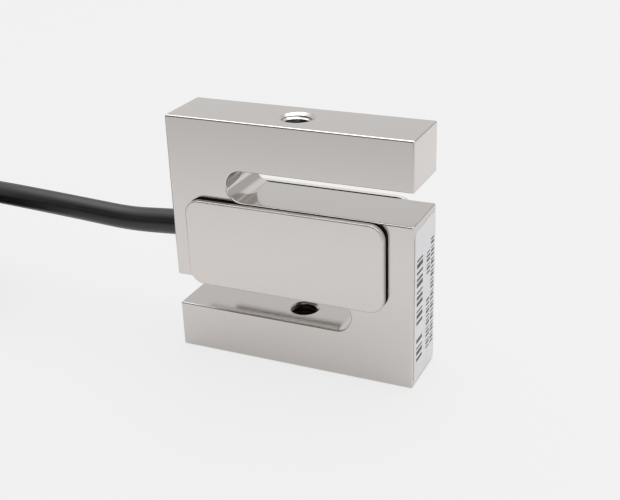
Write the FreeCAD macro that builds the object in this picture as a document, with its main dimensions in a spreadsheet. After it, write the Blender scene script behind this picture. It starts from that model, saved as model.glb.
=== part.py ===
import FreeCAD, Part
import math
import os

import Sketcher
from FreeCAD import Placement, Rotation, Vector

# An S-type load cell that stands on its lower arm. Millimetres, +X towards the labelled side,
# +Y towards the rear cover, +Z along the load axis. The origin is the mouth of the lower
# threaded hole, in the middle of the bottom face.

SIZES = {
    # the sprung block: two arms, a beam between them, and a slot each side of the beam
    "body_width": 50.0,
    "body_depth": 12.7,
    "arm_height": 9.7,
    "slot_height": 6.4,
    "beam_height": 17.3,
    "link_width": 12.4,
    "edge_radius": 0.25,
    # M6 thread, drilled size, with its two mouths
    "thread_bore": 5.0,
    "outer_mouth": 6.8,
    "inner_mouth": 6.0,
    # the gauge pocket: two windows and the channel between them
    "window_width": 11.0,
    "window_spacing": 18.0,
    "window_corner": 2.0,
    "flexure_wall": 2.4,
    "channel_height": 5.0,
    # covers and the adhesive seal under them
    "cover_width": 41.5,
    "cover_shift": 0.65,
    "cover_thickness": 1.5,
    "cover_corner": 3.0,
    "cover_edge_radius": 0.3,
    "seal_thickness": 0.2,
    "seal_inset": 0.3,
    "seal_width": 1.6,
    # strain gauges
    "carrier_length": 6.4,
    "carrier_width": 5.0,
    "carrier_thickness": 0.1,
    "foil_thickness": 0.06,
    "grid_length": 3.6,
    "grid_line": 0.3,
    "grid_pitch": 0.6,
    "grid_lines": 6,
    "tab_length": 1.2,
    "tab_width": 1.4,
    "tab_spacing": 2.4,
    # terminal board, its joints and its trim resistors
    "board_thickness": 0.8,
    "board_width": 8.0,
    "board_height": 8.0,
    "core_pad_across": 2.2,
    "core_pad_up": 1.2,
    "lead_pad_inner": 1.2,
    "lead_pad_outer": 3.1,
    "lead_pad_up": 3.4,
    "joint_height": 0.4,
    "core_joint_base": 1.6,
    "core_joint_top": 1.1,
    "lead_joint_base": 0.9,
    "lead_joint_top": 0.4,
    "chip_length": 1.8,
    "chip_width": 0.9,
    "chip_height": 0.5,
    "chip_gap": 1.4,
    # cable, its cores and what holds it
    "cable_diameter": 5.0,
    "cable_clearance": 0.2,
    "core_diameter": 1.0,
    "core_ring": 0.8,
    "lead_diameter": 0.3,
    "lead_drop": 1.4,
    "lead_shift": 1.2,
    "channel_entry_rise": 0.6,
    "channel_exit_rise": 1.1,
    "board_gap": 0.4,
    "board_bypass": 2.4,
    "jacket_reach": 3.0,
    "clamp_diameter": 6.4,
    "clamp_length": 2.4,
    "bush_diameter": 8.0,
    "bush_depth": 5.0,
    "collar_diameter": 9.4,
    "collar_thickness": 0.8,
    # side label
    "label_width": 11.6,
    "label_height": 31.1,
    "label_thickness": 0.1,
    "label_corner": 1.0,
    "label_shift": 0.15,
    "label_rise": 0.9,
    # the spare cable, folded into a tied hank of two columns and five rows
    "hank_centre_across": 16.0,
    "hank_right": 97.0,
    "hank_straight": 43.5,
    "hank_inner_bend": 15.0,
    "hank_rows": 5,
    "lead_join": 104.0,
    "tie_thickness": 0.9,
    "tie_width": 2.6,
    "tie_head": 4.4,
    "tie_head_height": 3.0,
    "back_tie": 120.0,
    "front_tie": 116.0,
    # the cable's far end
    "tail_length": 14.0,
    "tail_rise_start": 3.9,
    "tail_rise_end": 8.4,
    "sleeve_wall": 0.4,
    "sleeve_length": 9.0,
    "sleeve_overhang": 4.8,
    "tail_core_length": 26.0,
    "tail_core_slope": 0.1,
    "tip_length": 6.0,
    "tip_diameter": 0.6,
}

HEIGHT = "(2 * Sizes.arm_height + 2 * Sizes.slot_height + Sizes.beam_height)"
WINDOW_HEIGHT = "(Sizes.beam_height - 2 * Sizes.flexure_wall)"
BRIDGE = "(Sizes.window_spacing - Sizes.window_width)"
WINDOW_END = "((Sizes.window_spacing + Sizes.window_width) / 2)"

doc = FreeCAD.newDocument("LoadCell")
nodes = []


# --- the sheet and small helpers ---------------------------------------------------------


def make_sheet():
    """One row for each size: its name, and its value under an alias of that name."""
    sheet = doc.addObject("Spreadsheet::Sheet", "Sizes")
    for row, (name, value) in enumerate(SIZES.items(), start=1):
        sheet.set(f"A{row}", name)
        sheet.set(f"B{row}", str(value))
        sheet.setAlias(f"B{row}", name)
    doc.recompute()
    return sheet


sheet = make_sheet()


def size(name):
    return float(sheet.get(name))


def bind(obj, **expressions):
    """Tie properties to expressions; a double underscore in a name stands for a dot."""
    for name, expression in expressions.items():
        obj.setExpression(name.replace("__", "."), expression)


def node(obj, label):
    obj.Label = label
    nodes.append(obj)
    return obj


def new_body(label):
    body = node(doc.addObject("PartDesign::Body", label + "_body"), label)
    return body


def origin_feature(body, role):
    return next(item for item in body.Origin.OriginFeatures if item.Role == role)


def sketch_on(body, plane, name, **offsets):
    """A sketch on one of the body's own planes; along, up and out shift it by expressions."""
    sketch = body.newObject("Sketcher::SketchObject", body.Label + "_" + name)
    sketch.AttachmentSupport = [(origin_feature(body, plane), "")]
    sketch.MapMode = "FlatFace"
    for axis, key in (("x", "along"), ("y", "up"), ("z", "out")):
        if key in offsets:
            sketch.setExpression(f"AttachmentOffset.Base.{axis}", offsets[key])
    return sketch


def pad(body, sketch, length, **properties):
    return extrusion(body, "PartDesign::Pad", sketch, length, properties)


def pocket(body, sketch, length, **properties):
    return extrusion(body, "PartDesign::Pocket", sketch, length, properties)


def extrusion(body, kind, sketch, length, properties):
    """A pad or a pocket of the sketch; a length of None goes through everything, both ways."""
    feature = body.newObject(kind, sketch.Name + "_" + kind.split("::")[1].lower())
    feature.Profile = sketch
    if length is None:
        feature.Type = "ThroughAll"
        feature.SideType = "Symmetric"
    else:
        bind(feature, Length=length)
    for name, value in properties.items():
        setattr(feature, name, value)
    sketch.Visibility = False
    doc.recompute()
    return feature


# --- closed outlines, each centred on its sketch's origin ---------------------------------


def constrain(sketch, kind, *args, name=None, expression=None):
    index = sketch.addConstraint(Sketcher.Constraint(kind, *args))
    if expression:
        sketch.renameConstraint(index, name)
        sketch.setExpression("Constraints." + name, expression)


def evaluate(sketch, expression):
    value = sketch.evalExpression(expression)
    return float(getattr(value, "Value", value))


def circle(sketch, diameter, name="diameter"):
    radius = evaluate(sketch, diameter) / 2
    index = sketch.addGeometry(Part.Circle(Vector(0, 0, 0), Vector(0, 0, 1), radius))
    constrain(sketch, "Coincident", index, 3, -1, 1)
    constrain(sketch, "Diameter", index, 2 * radius, name=name, expression=diameter)


def rectangle(sketch, width, height, name="outline"):
    w, h = evaluate(sketch, width) / 2, evaluate(sketch, height) / 2
    corners = [Vector(-w, -h, 0), Vector(w, -h, 0), Vector(w, h, 0), Vector(-w, h, 0)]
    lines = [
        sketch.addGeometry(Part.LineSegment(corners[k], corners[(k + 1) % 4])) for k in range(4)
    ]
    for k in range(4):
        constrain(sketch, "Coincident", lines[k], 2, lines[(k + 1) % 4], 1)
        constrain(sketch, "Vertical" if k % 2 else "Horizontal", lines[k])
    constrain(sketch, "Symmetric", lines[0], 1, lines[2], 1, -1, 1)
    constrain(
        sketch, "DistanceX", lines[0], 1, lines[0], 2, 2 * w, name=name + "_width", expression=width
    )
    constrain(
        sketch, "DistanceY", lines[1], 1, lines[1], 2, 2 * h, name=name + "_height", expression=height
    )


def rounded_rectangle(sketch, width, height, radius, name="outline"):
    """Four sides and four tangent corner arcs."""
    w, h = evaluate(sketch, width) / 2, evaluate(sketch, height) / 2
    r = evaluate(sketch, radius)
    inner = [(w - r, -h + r), (w - r, h - r), (-w + r, h - r), (-w + r, -h + r)]
    sides = [
        (Vector(-w + r, -h, 0), Vector(w - r, -h, 0)),
        (Vector(w, -h + r, 0), Vector(w, h - r, 0)),
        (Vector(w - r, h, 0), Vector(-w + r, h, 0)),
        (Vector(-w, h - r, 0), Vector(-w, -h + r, 0)),
    ]
    lines = [sketch.addGeometry(Part.LineSegment(*side)) for side in sides]
    arcs = []
    for k, (x, y) in enumerate(inner):
        ring = Part.Circle(Vector(x, y, 0), Vector(0, 0, 1), r)
        start = math.radians(-90 + 90 * k)
        arcs.append(sketch.addGeometry(Part.ArcOfCircle(ring, start, start + math.pi / 2)))
    for k in range(4):
        constrain(sketch, "Tangent", lines[k], 2, arcs[k], 1)
        constrain(sketch, "Tangent", arcs[k], 2, lines[(k + 1) % 4], 1)
        constrain(sketch, "Vertical" if k % 2 else "Horizontal", lines[k])
    for k in range(3):
        constrain(sketch, "Equal", arcs[k], arcs[k + 1])
    constrain(sketch, "Symmetric", arcs[0], 3, arcs[2], 3, -1, 1)
    constrain(sketch, "Radius", arcs[0], r, name=name + "_radius", expression=radius)
    constrain(
        sketch,
        "DistanceX",
        arcs[2],
        3,
        arcs[0],
        3,
        2 * (w - r),
        name=name + "_width",
        expression=f"{width} - 2 * {radius}",
    )
    constrain(
        sketch,
        "DistanceY",
        arcs[0],
        3,
        arcs[2],
        3,
        2 * (h - r),
        name=name + "_height",
        expression=f"{height} - 2 * {radius}",
    )


def stadium(sketch, length, height):
    """Two straight sides and two half-round ends."""
    r = evaluate(sketch, height) / 2
    a = evaluate(sketch, length) / 2 - r
    top = sketch.addGeometry(Part.LineSegment(Vector(a, r, 0), Vector(-a, r, 0)))
    bottom = sketch.addGeometry(Part.LineSegment(Vector(-a, -r, 0), Vector(a, -r, 0)))
    ends = []
    for x, start in ((-a, math.pi / 2), (a, -math.pi / 2)):
        ring = Part.Circle(Vector(x, 0, 0), Vector(0, 0, 1), r)
        ends.append(sketch.addGeometry(Part.ArcOfCircle(ring, start, start + math.pi)))
    left, right = ends
    constrain(sketch, "Tangent", top, 2, left, 1)
    constrain(sketch, "Tangent", left, 2, bottom, 1)
    constrain(sketch, "Tangent", bottom, 2, right, 1)
    constrain(sketch, "Tangent", right, 2, top, 1)
    constrain(sketch, "Horizontal", top)
    constrain(sketch, "Equal", left, right)
    constrain(sketch, "Symmetric", left, 3, right, 3, -1, 1)
    constrain(sketch, "Radius", left, r, name="end_radius", expression=f"{height} / 2")
    constrain(
        sketch, "DistanceX", left, 3, right, 3, 2 * a, name="run", expression=f"{length} - {height}"
    )


def revolve_profile(sketch, points):
    """A closed outline from the vertical axis outwards, given as pairs of expressions: how far
    out from the axis, and how far down from the sketch's origin. The first and last are on
    the axis."""
    values = [(evaluate(sketch, out), evaluate(sketch, down)) for out, down in points]
    corners = [Vector(out, -down, 0) for out, down in values]
    count = len(corners)
    lines = [
        sketch.addGeometry(Part.LineSegment(corners[k], corners[(k + 1) % count]))
        for k in range(count)
    ]
    for k in range(count):
        constrain(sketch, "Coincident", lines[k], 2, lines[(k + 1) % count], 1)
    constrain(sketch, "Coincident", lines[0], 1, -1, 1)
    constrain(sketch, "PointOnObject", lines[-1], 1, -2)
    for k, ((out, down), (out_expr, down_expr)) in enumerate(zip(values, points)):
        if out > 0:
            constrain(
                sketch, "DistanceX", -1, 1, lines[k], 1, out, name=f"out_{k}", expression=out_expr
            )
        if down > 0:
            constrain(
                sketch, "DistanceY", lines[k], 1, -1, 1, down, name=f"down_{k}", expression=down_expr
            )
        elif k > 0:
            constrain(sketch, "PointOnObject", lines[k], 1, -1)


# --- round wires, cords and straight rods -------------------------------------------------


def cord_path(points, label=None):
    """Straight runs joined by tangent arcs, each as large as its two runs allow."""
    share = 0.45
    edges = []
    radii = []
    start = points[0]
    for before, corner, after in zip(points, points[1:], points[2:]):
        back, ahead = before - corner, after - corner
        half_turn = (math.pi - back.getAngle(ahead)) / 2
        cut = share * min(back.Length, ahead.Length)
        radii.append(cut / math.tan(half_turn))
        to_start, to_end = back.normalize(), ahead.normalize()
        first, last = corner + to_start * cut, corner + to_end * cut
        towards = (to_start + to_end).normalize()
        centre_distance = math.hypot(radii[-1], cut)
        middle = corner + towards * (centre_distance - radii[-1])
        edges.append(Part.LineSegment(start, first).toShape())
        edges.append(Part.Arc(first, middle, last).toShape())
        start = last
    edges.append(Part.LineSegment(start, points[-1]).toShape())
    if label:
        print(label, "bend radii", [round(radius, 1) for radius in radii])
    return Part.Wire(edges)


def tube(points, diameter, label=None):
    """A round solid along the path, with its volume compared with section times length."""
    path = cord_path([Vector(*point) for point in points], label)
    start, ahead = Vector(*points[0]), Vector(*points[1]) - Vector(*points[0])
    ring = Part.Wire(Part.Circle(start, ahead, diameter / 2).toShape())
    solid = path.makePipeShell([ring], True, False)
    expected = math.pi * diameter**2 / 4 * path.Length
    if abs(solid.Volume / expected - 1) > 0.002:
        raise ValueError(f"{label}: the tube's volume is {solid.Volume}, not {expected}")
    if label:
        print(label, "length", round(path.Length, 1))
    return solid


def shaped(label, shape):
    """A node whose form is worked out here from the sheet's sizes."""
    feature = node(doc.addObject("Part::Feature", label), label)
    feature.Shape = shape
    return feature


# --- the sprung block ---------------------------------------------------------------------


def spring_body():
    """A rectangular block, point-symmetric about its middle: the slot, threaded hole and window
    of one half are turned half a turn about the depth axis to give the other half."""
    body = new_body("spring_body")
    bind(body, Placement__Base__z=HEIGHT + " / 2")
    blank = sketch_on(body, "XZ_Plane", "blank")
    rectangle(blank, "Sizes.body_width", HEIGHT)
    pad(body, blank, "Sizes.body_depth", SideType="Symmetric")

    slot = sketch_on(
        body,
        "XZ_Plane",
        "slot",
        along="(Sizes.link_width + Sizes.slot_height) / 2",
        up="(Sizes.beam_height + Sizes.slot_height) / 2",
    )
    stadium(slot, "(Sizes.body_width - Sizes.link_width + Sizes.slot_height)", "Sizes.slot_height")
    slot_cut = pocket(body, slot, None)

    window = sketch_on(body, "XZ_Plane", "window", along="Sizes.window_spacing / 2")
    rounded_rectangle(window, "Sizes.window_width", WINDOW_HEIGHT, "Sizes.window_corner")
    window_cut = pocket(body, window, None)

    bore = sketch_on(body, "XZ_Plane", "bore", up=HEIGHT + " / 2")
    revolve_profile(
        bore,
        [
            ("0", "0"),
            ("Sizes.outer_mouth / 2", "0"),
            ("Sizes.thread_bore / 2", "(Sizes.outer_mouth - Sizes.thread_bore) / 2"),
            (
                "Sizes.thread_bore / 2",
                "Sizes.arm_height - (Sizes.inner_mouth - Sizes.thread_bore) / 2",
            ),
            ("Sizes.inner_mouth / 2", "Sizes.arm_height"),
            ("0", "Sizes.arm_height"),
        ],
    )
    bore_cut = body.newObject("PartDesign::Groove", "spring_body_bore_groove")
    bore_cut.Profile = bore
    bore_cut.ReferenceAxis = (bore, ["V_Axis"])
    bore_cut.Angle = 360
    doc.recompute()

    half_turn = body.newObject("PartDesign::PolarPattern", "spring_body_half_turn")
    half_turn.Originals = [slot_cut, window_cut, bore_cut]
    half_turn.Axis = (origin_feature(body, "Y_Axis"), [""])
    half_turn.Angle = 360
    half_turn.Occurrences = 2
    body.Tip = half_turn
    doc.recompute()

    channel = sketch_on(body, "XZ_Plane", "channel")
    rectangle(channel, "Sizes.window_spacing", "Sizes.channel_height")
    pocket(body, channel, None)

    inlet = sketch_on(body, "YZ_Plane", "inlet", out="-Sizes.body_width / 2")
    circle(inlet, "Sizes.cable_diameter + Sizes.cable_clearance")
    pocket(body, inlet, "(Sizes.body_width - Sizes.window_spacing) / 2", Reversed=True)

    seat = sketch_on(body, "YZ_Plane", "bush_seat", out="-Sizes.body_width / 2")
    circle(seat, "Sizes.bush_diameter")
    carved = pocket(body, seat, "Sizes.bush_depth", Reversed=True)

    edges = body.newObject("PartDesign::Fillet", "spring_body_edges")
    edges.Base = (carved, outline_edges(carved.Shape))
    bind(edges, Radius="Sizes.edge_radius")
    doc.recompute()
    return body


def outline_edges(shape):
    """The names of the edges round the front and rear faces, and of the corners across the
    depth at both ends."""
    half_width, half_depth = size("body_width") / 2, size("body_depth") / 2
    wanted = []
    for face in shape.Faces:
        flat = face.Surface.TypeId == "Part::GeomPlane"
        box = face.BoundBox
        if flat and box.YLength < 0.001 and abs(abs(box.Center.y) - half_depth) < 0.001:
            wanted += face.OuterWire.Edges
    for edge in shape.Edges:
        box = edge.BoundBox
        across = box.XLength < 0.001 and box.ZLength < 0.001
        if across and abs(abs(box.Center.x) - half_width) < 0.001:
            wanted.append(edge)
    return [
        f"Edge{k}"
        for k, edge in enumerate(shape.Edges, start=1)
        if any(edge.isSame(other) for other in wanted)
    ]


# --- covers, seals and label --------------------------------------------------------------

# A plate is drawn face down on its seat. The rear ones are turned over about the width axis.
SIDES = {"front": (0, "-"), "rear": (180, "+")}


def set_on_side(body, side, seat="Sizes.body_depth / 2"):
    """Put a plate on one side of the block, so far from the block's middle as its seat is."""
    turn, sign = SIDES[side]
    body.Placement = Placement(Vector(), Rotation(Vector(1, 0, 0), turn))
    bind(
        body,
        Placement__Base__x="-Sizes.cover_shift",
        Placement__Base__y=f"{sign}({seat})",
        Placement__Base__z=HEIGHT + " / 2",
    )


def cover(side):
    body = new_body(side + "_cover")
    plate = sketch_on(body, "XZ_Plane", "plate")
    rounded_rectangle(plate, "Sizes.cover_width", "Sizes.beam_height", "Sizes.cover_corner")
    plate_pad = pad(body, plate, "Sizes.cover_thickness")
    outer = min(plate_pad.Shape.Faces, key=lambda face: face.CenterOfMass.y)
    rim = [
        f"Edge{k}"
        for k, edge in enumerate(plate_pad.Shape.Edges, start=1)
        if any(edge.isSame(other) for other in outer.Edges)
    ]
    edge = body.newObject("PartDesign::Fillet", body.Label + "_rim")
    edge.Base = (plate_pad, rim)
    bind(edge, Radius="Sizes.cover_edge_radius")
    set_on_side(body, side, "Sizes.body_depth / 2 + Sizes.seal_thickness")
    doc.recompute()


def cover_seal(side):
    """A thin frame of adhesive under the cover, a little inside its edge."""
    body = new_body(side + "_cover_seal")
    frame = sketch_on(body, "XZ_Plane", "frame")
    inset = "2 * Sizes.seal_inset"
    width, height = f"(Sizes.cover_width - {inset})", f"(Sizes.beam_height - {inset})"
    rounded_rectangle(frame, width, height, "(Sizes.cover_corner - Sizes.seal_inset)", "outer")
    band = "2 * Sizes.seal_width"
    rounded_rectangle(
        frame,
        f"({width} - {band})",
        f"({height} - {band})",
        "(Sizes.cover_corner - Sizes.seal_inset - Sizes.seal_width)",
        "inner",
    )
    pad(body, frame, "Sizes.seal_thickness")
    set_on_side(body, side)
    doc.recompute()


def side_label():
    body = new_body("side_label")
    sheet_outline = sketch_on(body, "YZ_Plane", "sheet")
    rounded_rectangle(sheet_outline, "Sizes.label_width", "Sizes.label_height", "Sizes.label_corner")
    pad(body, sheet_outline, "Sizes.label_thickness")
    bind(
        body,
        Placement__Base__x="Sizes.body_width / 2",
        Placement__Base__y="Sizes.label_shift",
        Placement__Base__z="Sizes.label_rise + Sizes.label_height / 2",
    )
    doc.recompute()


# --- strain gauges and their leads ---------------------------------------------------------

# Each gauge lies on the flat of a thin wall, with its tabs towards the middle of the beam.
# The sign along X, the sign along Z, and the turn that puts the gauge's own frame there.
GAUGES = {
    "lower_right": (1, -1, Rotation()),
    "lower_left": (-1, -1, Rotation(Vector(0, 0, 1), 180)),
    "upper_right": (1, 1, Rotation(Vector(1, 0, 0), 180)),
    "upper_left": (-1, 1, Rotation(Vector(0, 1, 0), 180)),
}
TAB_AT = "(Sizes.carrier_length / 2 - Sizes.tab_length)"


def strain_gauge(place):
    """A thin carrier with a foil grid of parallel lines and two solder tabs."""
    along, up, turn = GAUGES[place]
    body = new_body("gauge_" + place)
    carrier = sketch_on(body, "XY_Plane", "carrier")
    rectangle(carrier, "Sizes.carrier_length", "Sizes.carrier_width")
    pad(body, carrier, "Sizes.carrier_thickness")

    line = sketch_on(
        body,
        "XY_Plane",
        "grid_line",
        along="Sizes.tab_length / 2",
        up="-(Sizes.grid_lines - 1) * Sizes.grid_pitch / 2",
        out="Sizes.carrier_thickness",
    )
    rectangle(line, "Sizes.grid_length", "Sizes.grid_line")
    line_pad = pad(body, line, "Sizes.foil_thickness")
    grid = body.newObject("PartDesign::LinearPattern", body.Label + "_grid")
    grid.Originals = [line_pad]
    grid.Direction = (origin_feature(body, "Y_Axis"), [""])
    bind(
        grid,
        Length="(Sizes.grid_lines - 1) * Sizes.grid_pitch",
        Occurrences="Sizes.grid_lines",
    )
    body.Tip = grid
    doc.recompute()

    tab = sketch_on(
        body,
        "XY_Plane",
        "tab",
        along="-" + TAB_AT,
        up="Sizes.tab_spacing / 2",
        out="Sizes.carrier_thickness",
    )
    rectangle(tab, "Sizes.tab_length", "Sizes.tab_width")
    tab_pad = pad(body, tab, "Sizes.foil_thickness")
    tabs = body.newObject("PartDesign::Mirrored", body.Label + "_tabs")
    tabs.Originals = [tab_pad]
    tabs.MirrorPlane = (origin_feature(body, "XZ_Plane"), [""])
    body.Tip = tabs

    body.Placement = Placement(Vector(), turn)
    bind(
        body,
        Placement__Base__x=f"{along} * Sizes.window_spacing / 2",
        Placement__Base__z=f"{HEIGHT} / 2 + {up} * {WINDOW_HEIGHT} / 2",
    )
    doc.recompute()


def gauge_leads(place):
    """Two fine wires from a gauge's tabs to the joints on the terminal board. The right-hand
    pairs go through the channel, round the sides of the board."""
    along, up, _ = GAUGES[place]
    middle = block_height() / 2
    wall = size("beam_height") / 2 - size("flexure_wall")
    tab_x = size("window_spacing") / 2 - (size("carrier_length") / 2 - size("tab_length"))
    tab_z = wall - size("carrier_thickness") - size("foil_thickness")
    joint_x = -(board_face() + size("joint_height"))
    pad_z = size("lead_pad_up")
    beside = (size("board_width") / 2 + size("body_depth") / 2) / 2
    far_x = joint_x - size("board_bypass")
    gap = size("board_gap")
    wires = []
    for side in (-1, 1):
        tab_y = size("tab_spacing") / 2
        if along < 0:
            near = size("lead_pad_inner")
            route = [(-tab_x, tab_y, tab_z), (-tab_x, (tab_y + near) / 2, pad_z), (joint_x, near, pad_z)]
        else:
            outer = size("lead_pad_outer")
            inside = size("channel_height") / 2
            route = [
                (tab_x, tab_y, tab_z),
                (tab_x, tab_y, tab_z - size("lead_drop")),
                (tab_x - size("lead_shift"), beside, inside - size("channel_entry_rise")),
                (joint_x + gap, beside, inside - size("channel_exit_rise")),
                (far_x, beside - gap, inside),
                (far_x, outer, pad_z),
                (joint_x, outer, pad_z),
            ]
        points = [(x, side * y, middle + up * z) for x, y, z in route]
        wires.append(tube(points, size("lead_diameter")))
    shaped("leads_" + place, Part.Compound(wires))


def block_height():
    return 2 * size("arm_height") + 2 * size("slot_height") + size("beam_height")


def board_face():
    """How far the board's soldered face is from the middle of the block."""
    return (size("window_spacing") - size("window_width")) / 2 + size("board_thickness")


# --- terminal board ------------------------------------------------------------------------

BOARD_FACE = f"({BRIDGE} / 2 + Sizes.board_thickness)"


def terminal_board():
    board = node(doc.addObject("Part::Box", "terminal_board"), "terminal_board")
    bind(
        board,
        Length="Sizes.board_thickness",
        Width="Sizes.board_width",
        Height="Sizes.board_height",
        Placement__Base__x="-" + BOARD_FACE,
        Placement__Base__y="-Sizes.board_width / 2",
        Placement__Base__z=f"{HEIGHT} / 2 - Sizes.board_height / 2",
    )


def solder_joint(name, across, up, base, top):
    """A small cone whose base is on the board and whose flat top takes the wire's end."""
    joint = doc.addObject("Part::Cone", name)
    joint.Placement = Placement(Vector(), Rotation(Vector(0, 1, 0), -90))
    bind(
        joint,
        Radius1=f"{base} / 2",
        Radius2=f"{top} / 2",
        Height="Sizes.joint_height",
        Placement__Base__x="-" + BOARD_FACE,
        Placement__Base__y=across,
        Placement__Base__z=f"{HEIGHT} / 2 + {up}",
    )
    return joint


def solder_joints():
    joints = []
    for across in ("-", "+"):
        for up in ("-", "+"):
            where = f"{len(joints)}"
            joints += [
                solder_joint(
                    "core_joint_" + where,
                    across + "Sizes.core_pad_across",
                    up + "Sizes.core_pad_up",
                    "Sizes.core_joint_base",
                    "Sizes.core_joint_top",
                )
            ]
            joints += [
                solder_joint(
                    f"lead_joint_{where}_{pad_name}",
                    f"{across}Sizes.{pad_name}",
                    up + "Sizes.lead_pad_up",
                    "Sizes.lead_joint_base",
                    "Sizes.lead_joint_top",
                )
                for pad_name in ("lead_pad_inner", "lead_pad_outer")
            ]
    group = node(doc.addObject("Part::Compound", "solder_joints"), "solder_joints")
    group.Links = joints


def trim_resistors():
    chips = []
    for name, lift in (
        ("upper_chip", "Sizes.chip_gap / 2"),
        ("lower_chip", "-Sizes.chip_gap / 2 - Sizes.chip_length"),
    ):
        chip = doc.addObject("Part::Box", name)
        bind(
            chip,
            Length="Sizes.chip_height",
            Width="Sizes.chip_width",
            Height="Sizes.chip_length",
            Placement__Base__x=f"-{BOARD_FACE} - Sizes.chip_height",
            Placement__Base__y="-Sizes.chip_width / 2",
            Placement__Base__z=f"{HEIGHT} / 2 + {lift}",
        )
        chips.append(chip)
    group = node(doc.addObject("Part::Compound", "trim_resistors"), "trim_resistors")
    group.Links = chips


# --- cable entry -----------------------------------------------------------------------------


def cable_bush():
    """A rubber bush pressed into its seat, with a thin collar on the block's side."""
    body = new_body("cable_bush")
    plug = sketch_on(body, "YZ_Plane", "plug")
    circle(plug, "Sizes.bush_diameter", "outside")
    circle(plug, "Sizes.cable_diameter", "inside")
    pad(body, plug, "Sizes.bush_depth")
    collar = sketch_on(body, "YZ_Plane", "collar")
    circle(collar, "Sizes.collar_diameter", "outside")
    circle(collar, "Sizes.cable_diameter", "inside")
    collar_pad = pad(body, collar, "Sizes.collar_thickness", Reversed=True)
    outer = min(collar_pad.Shape.Faces, key=lambda face: face.CenterOfMass.x)
    rim = max(outer.Edges, key=lambda edge: edge.Length)
    name = next(
        f"Edge{k}" for k, edge in enumerate(collar_pad.Shape.Edges, start=1) if edge.isSame(rim)
    )
    rounding = body.newObject("PartDesign::Fillet", "cable_bush_rim")
    rounding.Base = (collar_pad, [name])
    bind(rounding, Radius="Sizes.collar_thickness / 2")
    bind(body, Placement__Base__x="-Sizes.body_width / 2", Placement__Base__z=HEIGHT + " / 2")
    doc.recompute()


def cable_clamp():
    """A brass ring crimped round the jacket inside the window, so that it can't be pulled out."""
    body = new_body("cable_clamp")
    ring = sketch_on(body, "YZ_Plane", "ring")
    circle(ring, "Sizes.clamp_diameter", "outside")
    circle(ring, "Sizes.cable_diameter", "inside")
    pad(body, ring, "Sizes.clamp_length")
    bind(body, Placement__Base__x="-" + WINDOW_END, Placement__Base__z=HEIGHT + " / 2")
    doc.recompute()


CORES = {"red": (1, 1), "black": (-1, 1), "green": (1, -1), "white": (-1, -1)}


def jacket_end():
    """Where the jacket stops inside the left window."""
    return -((size("window_spacing") + size("window_width")) / 2 - size("jacket_reach"))


def collar_face():
    """Where the cable comes out of its bush, left of the block."""
    return -(size("body_width") / 2 + size("collar_thickness"))


def cable_inlet():
    """The end of the cable that the bush and the clamp hold."""
    inlet = node(doc.addObject("Part::Cylinder", "cable_inlet"), "cable_inlet")
    inlet.Placement = Placement(Vector(), Rotation(Vector(0, 1, 0), 90))
    start = "(Sizes.body_width / 2 + Sizes.collar_thickness)"
    bind(
        inlet,
        Radius="Sizes.cable_diameter / 2",
        Height=f"{start} - {WINDOW_END} + Sizes.jacket_reach",
        Placement__Base__x="-" + start,
        Placement__Base__z=HEIGHT + " / 2",
    )


def core(colour):
    """One insulated core, from the end of the jacket to its joint on the board."""
    across, up = CORES[colour]
    middle = block_height() / 2
    start, end = jacket_end(), -(board_face() + size("joint_height"))
    ring, pad_y, pad_z = size("core_ring"), size("core_pad_across"), size("core_pad_up")
    run = (end - start) / 3
    route = [
        (start, ring, ring),
        (start + run, ring, ring),
        (end - run, pad_y, pad_z),
        (end, pad_y, pad_z),
    ]
    points = [(x, across * y, middle + up * z) for x, y, z in route]
    shaped("core_" + colour, tube(points, size("core_diameter")))


# --- the free cable ---------------------------------------------------------------------------

# Places along the lead, between the bush and the hank: X, Y, Z in the part's frame.
LEAD_ROUTE = [
    (-31.5, 0.0, 24.75),
    (-39.5, 0.0, 23.45),
    (-50.0, 0.0, 23.75),
    (-61.0, 0.0, 24.75),
    (-74.0, 0.2, 25.3),
    (-84.0, 2.2, 24.2),
    (-94.0, 4.0, 22.5),
]


def hank_middle():
    return -size("hank_centre_across")


def row_height(row):
    """The height of the middle of a row of turns, counted from 0 at the floor."""
    return (row + 0.5) * size("cable_diameter")


def cable_lead():
    top = row_height(size("hank_rows") - 1)
    start = (collar_face(), 0.0, block_height() / 2)
    outer_bend = size("hank_inner_bend") + size("cable_diameter")
    end = (-size("lead_join"), hank_middle() + outer_bend, top)
    shaped("cable_lead", tube([start, *LEAD_ROUTE, end], size("cable_diameter"), "cable_lead"))


def oval_ring(inner, outer, low, high):
    """A flat-sided loop: two straight sides and two half-round ends."""
    right, left = -size("hank_right"), -size("hank_right") - size("hank_straight")
    across = hank_middle()

    def prism(radius):
        ends = [Part.makeCylinder(radius, high - low, Vector(x, across, low)) for x in (left, right)]
        block = Part.makeBox(right - left, 2 * radius, high - low, Vector(left, across - radius, low))
        return ends[0].fuse([ends[1], block]).removeSplitter()

    return prism(outer).cut(prism(inner))


def part_of(shape, low_x, high_x, front):
    """What a loop has between two places along X, on its front or on its rear side."""
    box = shape.BoundBox
    across = hank_middle()
    low_y = box.YMin if front else across
    high_y = across if front else box.YMax
    keep = Part.makeBox(
        high_x - low_x, high_y - low_y, box.ZLength, Vector(low_x, low_y, box.ZMin)
    )
    return shape.common(keep)


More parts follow.
